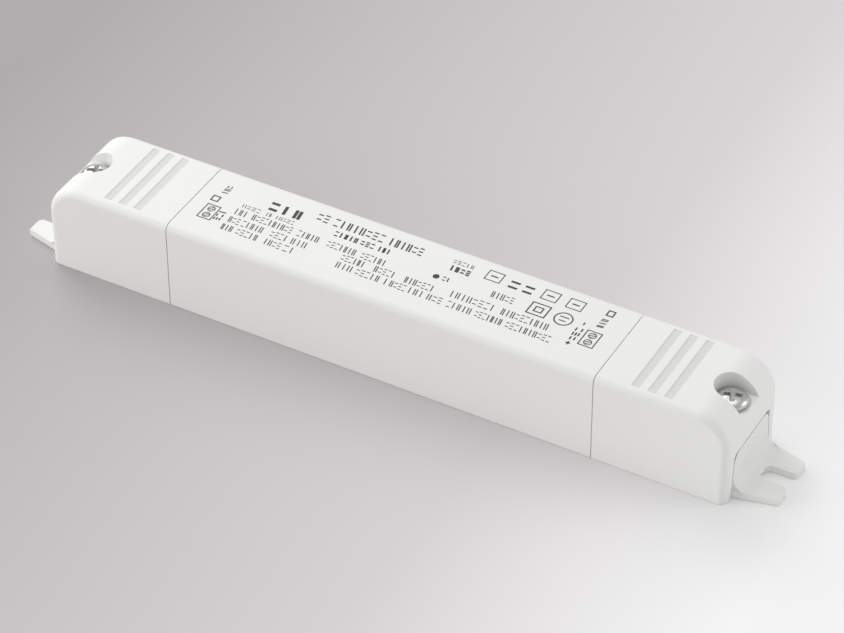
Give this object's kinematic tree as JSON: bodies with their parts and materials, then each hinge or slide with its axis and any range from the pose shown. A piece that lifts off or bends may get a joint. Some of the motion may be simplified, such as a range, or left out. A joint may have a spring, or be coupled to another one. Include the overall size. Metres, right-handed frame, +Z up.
{
  "type": "led driver",
  "caption": "slim white LED driver: a long plastic box with a screwed terminal cover and a slotted mounting tab at each end, circuit board inside",
  "frame": {"origin": "under the middle of the base, on the plane that the driver rests on", "axes": "+X along the length towards the LED output, +Y across, +Z up out of the mounting surface"},
  "size_m": [0.1678, 0.022, 0.02],
  "materials": {
    "housing_white": "satin moulded polycarbonate",
    "tray_white": "satin moulded polycarbonate",
    "screw_steel": "bright zinc plated",
    "board_green": "solder mask",
    "terminal_green": "moulded polyamide",
    "terminal_brass": "plain",
    "fuse_brown": "moulded",
    "dipped_blue": "dipped epoxy",
    "capacitor_yellow": "moulded box",
    "chip_black": "moulded epoxy",
    "ferrite": "sintered ferrite",
    "copper_wire": "enamelled copper wire",
    "can_sleeve": "shrink sleeve",
    "spreader_aluminium": "mill",
    "winding_tape": "polyester tape",
    "opto_white": "moulded epoxy"
  },
  "bodies": {
    "root": {"base_tray": "tray_white", "central_housing": "housing_white", "end_cover_output": "housing_white", "end_cover_input": "housing_white", "cover_screw_output": "screw_steel", "cover_screw_input": "screw_steel", "circuit_board": "board_green", "terminal_block_output": "terminal_green", "terminal_block_input": "terminal_green", "terminal_cage_output_1": "terminal_brass", "terminal_cage_output_2": "terminal_brass", "terminal_cage_input_1": "terminal_brass", "terminal_cage_input_2": "terminal_brass", "terminal_screw_output_1": "screw_steel", "terminal_screw_output_2": "screw_steel", "terminal_screw_input_1": "screw_steel", "terminal_screw_input_2": "screw_steel", "fuse": "fuse_brown", "varistor": "dipped_blue", "suppression_capacitor": "capacitor_yellow", "bridge_rectifier": "chip_black", "filter_choke_core": "ferrite", "filter_choke_winding": "copper_wire", "inrush_thermistor": "chip_black", "bulk_capacitor": "can_sleeve", "controller_chip": "chip_black", "power_transistor": "chip_black", "heat_spreader": "spreader_aluminium", "transformer_core_input": "ferrite", "transformer_core_output": "ferrite", "transformer_bobbin": "chip_black", "transformer_winding": "winding_tape", "isolation_capacitor": "dipped_blue", "output_diode": "chip_black", "optocoupler": "opto_white", "output_capacitor": "can_sleeve"}
  },
  "joints": []
}
